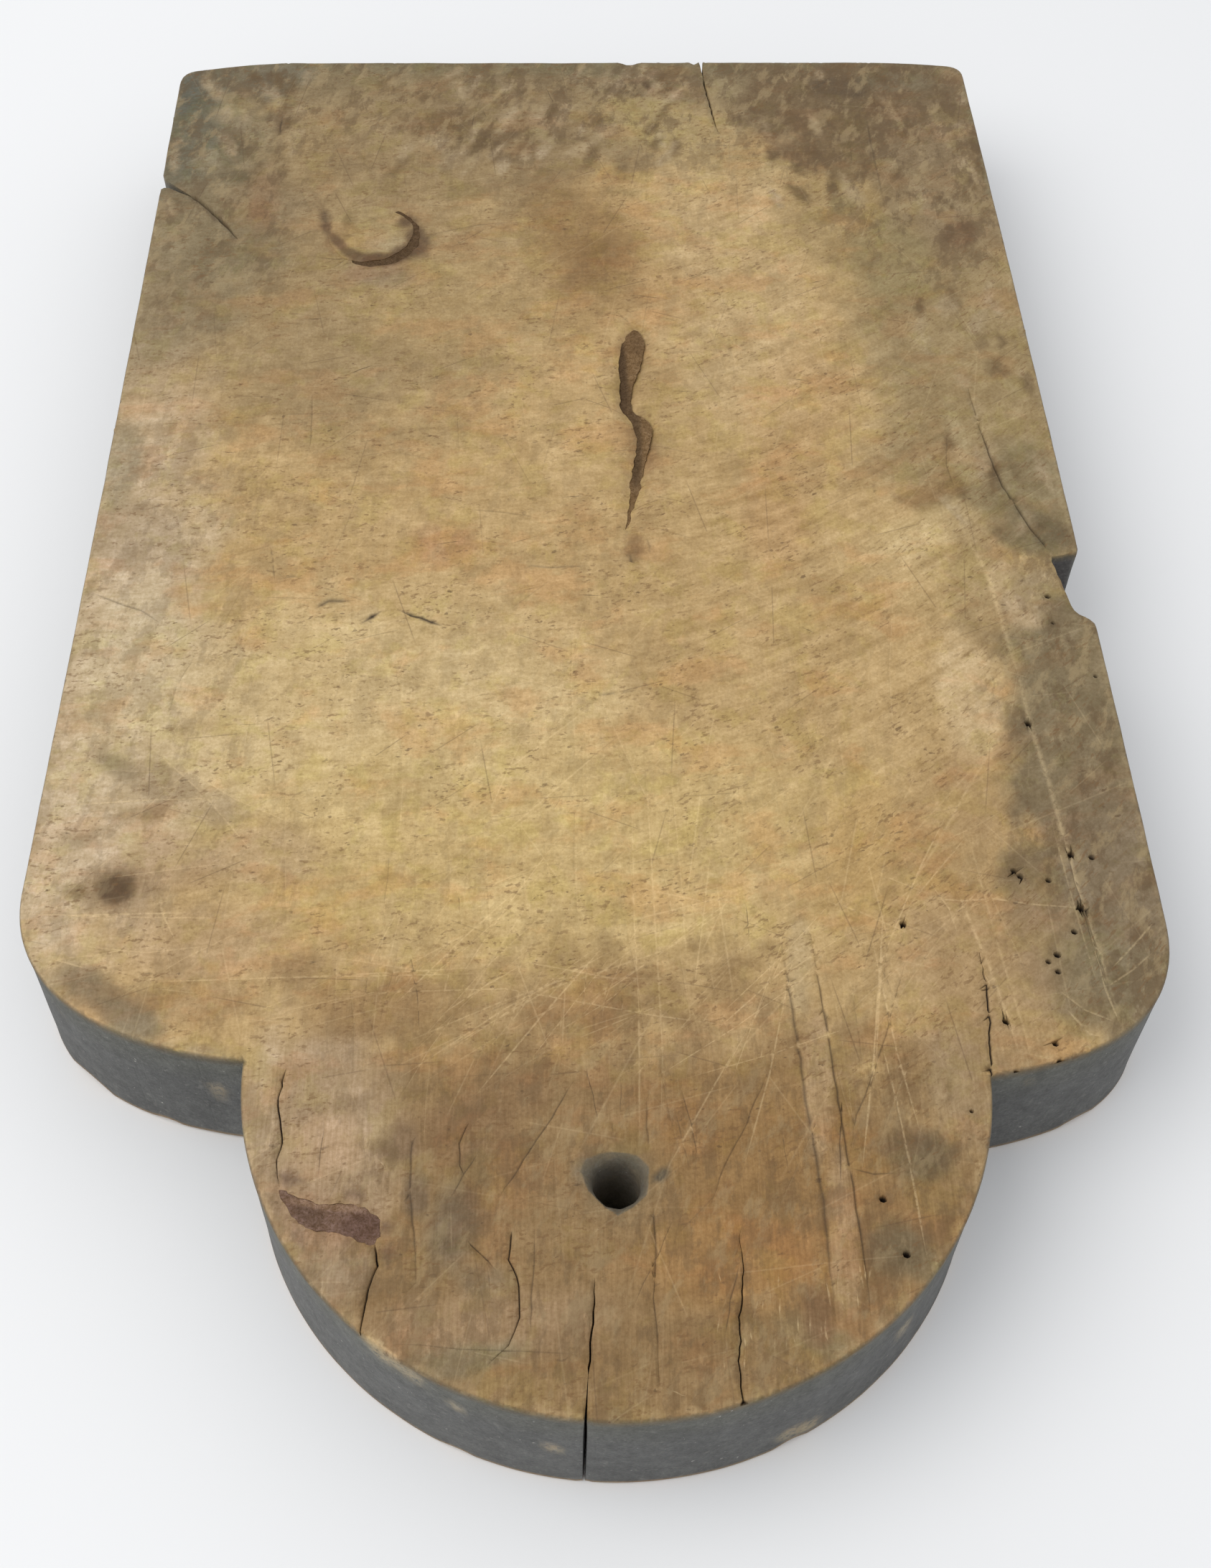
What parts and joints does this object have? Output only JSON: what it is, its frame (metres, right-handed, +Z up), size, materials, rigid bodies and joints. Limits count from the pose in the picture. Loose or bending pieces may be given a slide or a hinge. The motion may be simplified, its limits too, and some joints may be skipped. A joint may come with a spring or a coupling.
{
  "type": "chopping board",
  "caption": "Thick one-piece wooden chopping board, a rectangular plank with rounded shoulders and a broad rounded handle lobe with a hanging hole.",
  "frame": {"origin": "under the middle of the board's box, on the plane it rests on", "axes": "+Z up through the thickness, +Y along the length to the straight far end with the handle lobe to -Y, +X to the side with the broken notch"},
  "size_m": [0.261, 0.442, 0.0388],
  "materials": {
    "plank_wood": "bare, worn, knife-scarred, greyed at the rim",
    "knot_wood": "bare, worn, denser than the plank",
    "bark": "dark, rough, crumbling bark"
  },
  "bodies": {
    "root": {"board": "plank_wood", "knot": "knot_wood", "knot_bark": "bark", "handle_bark": "bark", "seam_bark": "bark"}
  },
  "joints": []
}
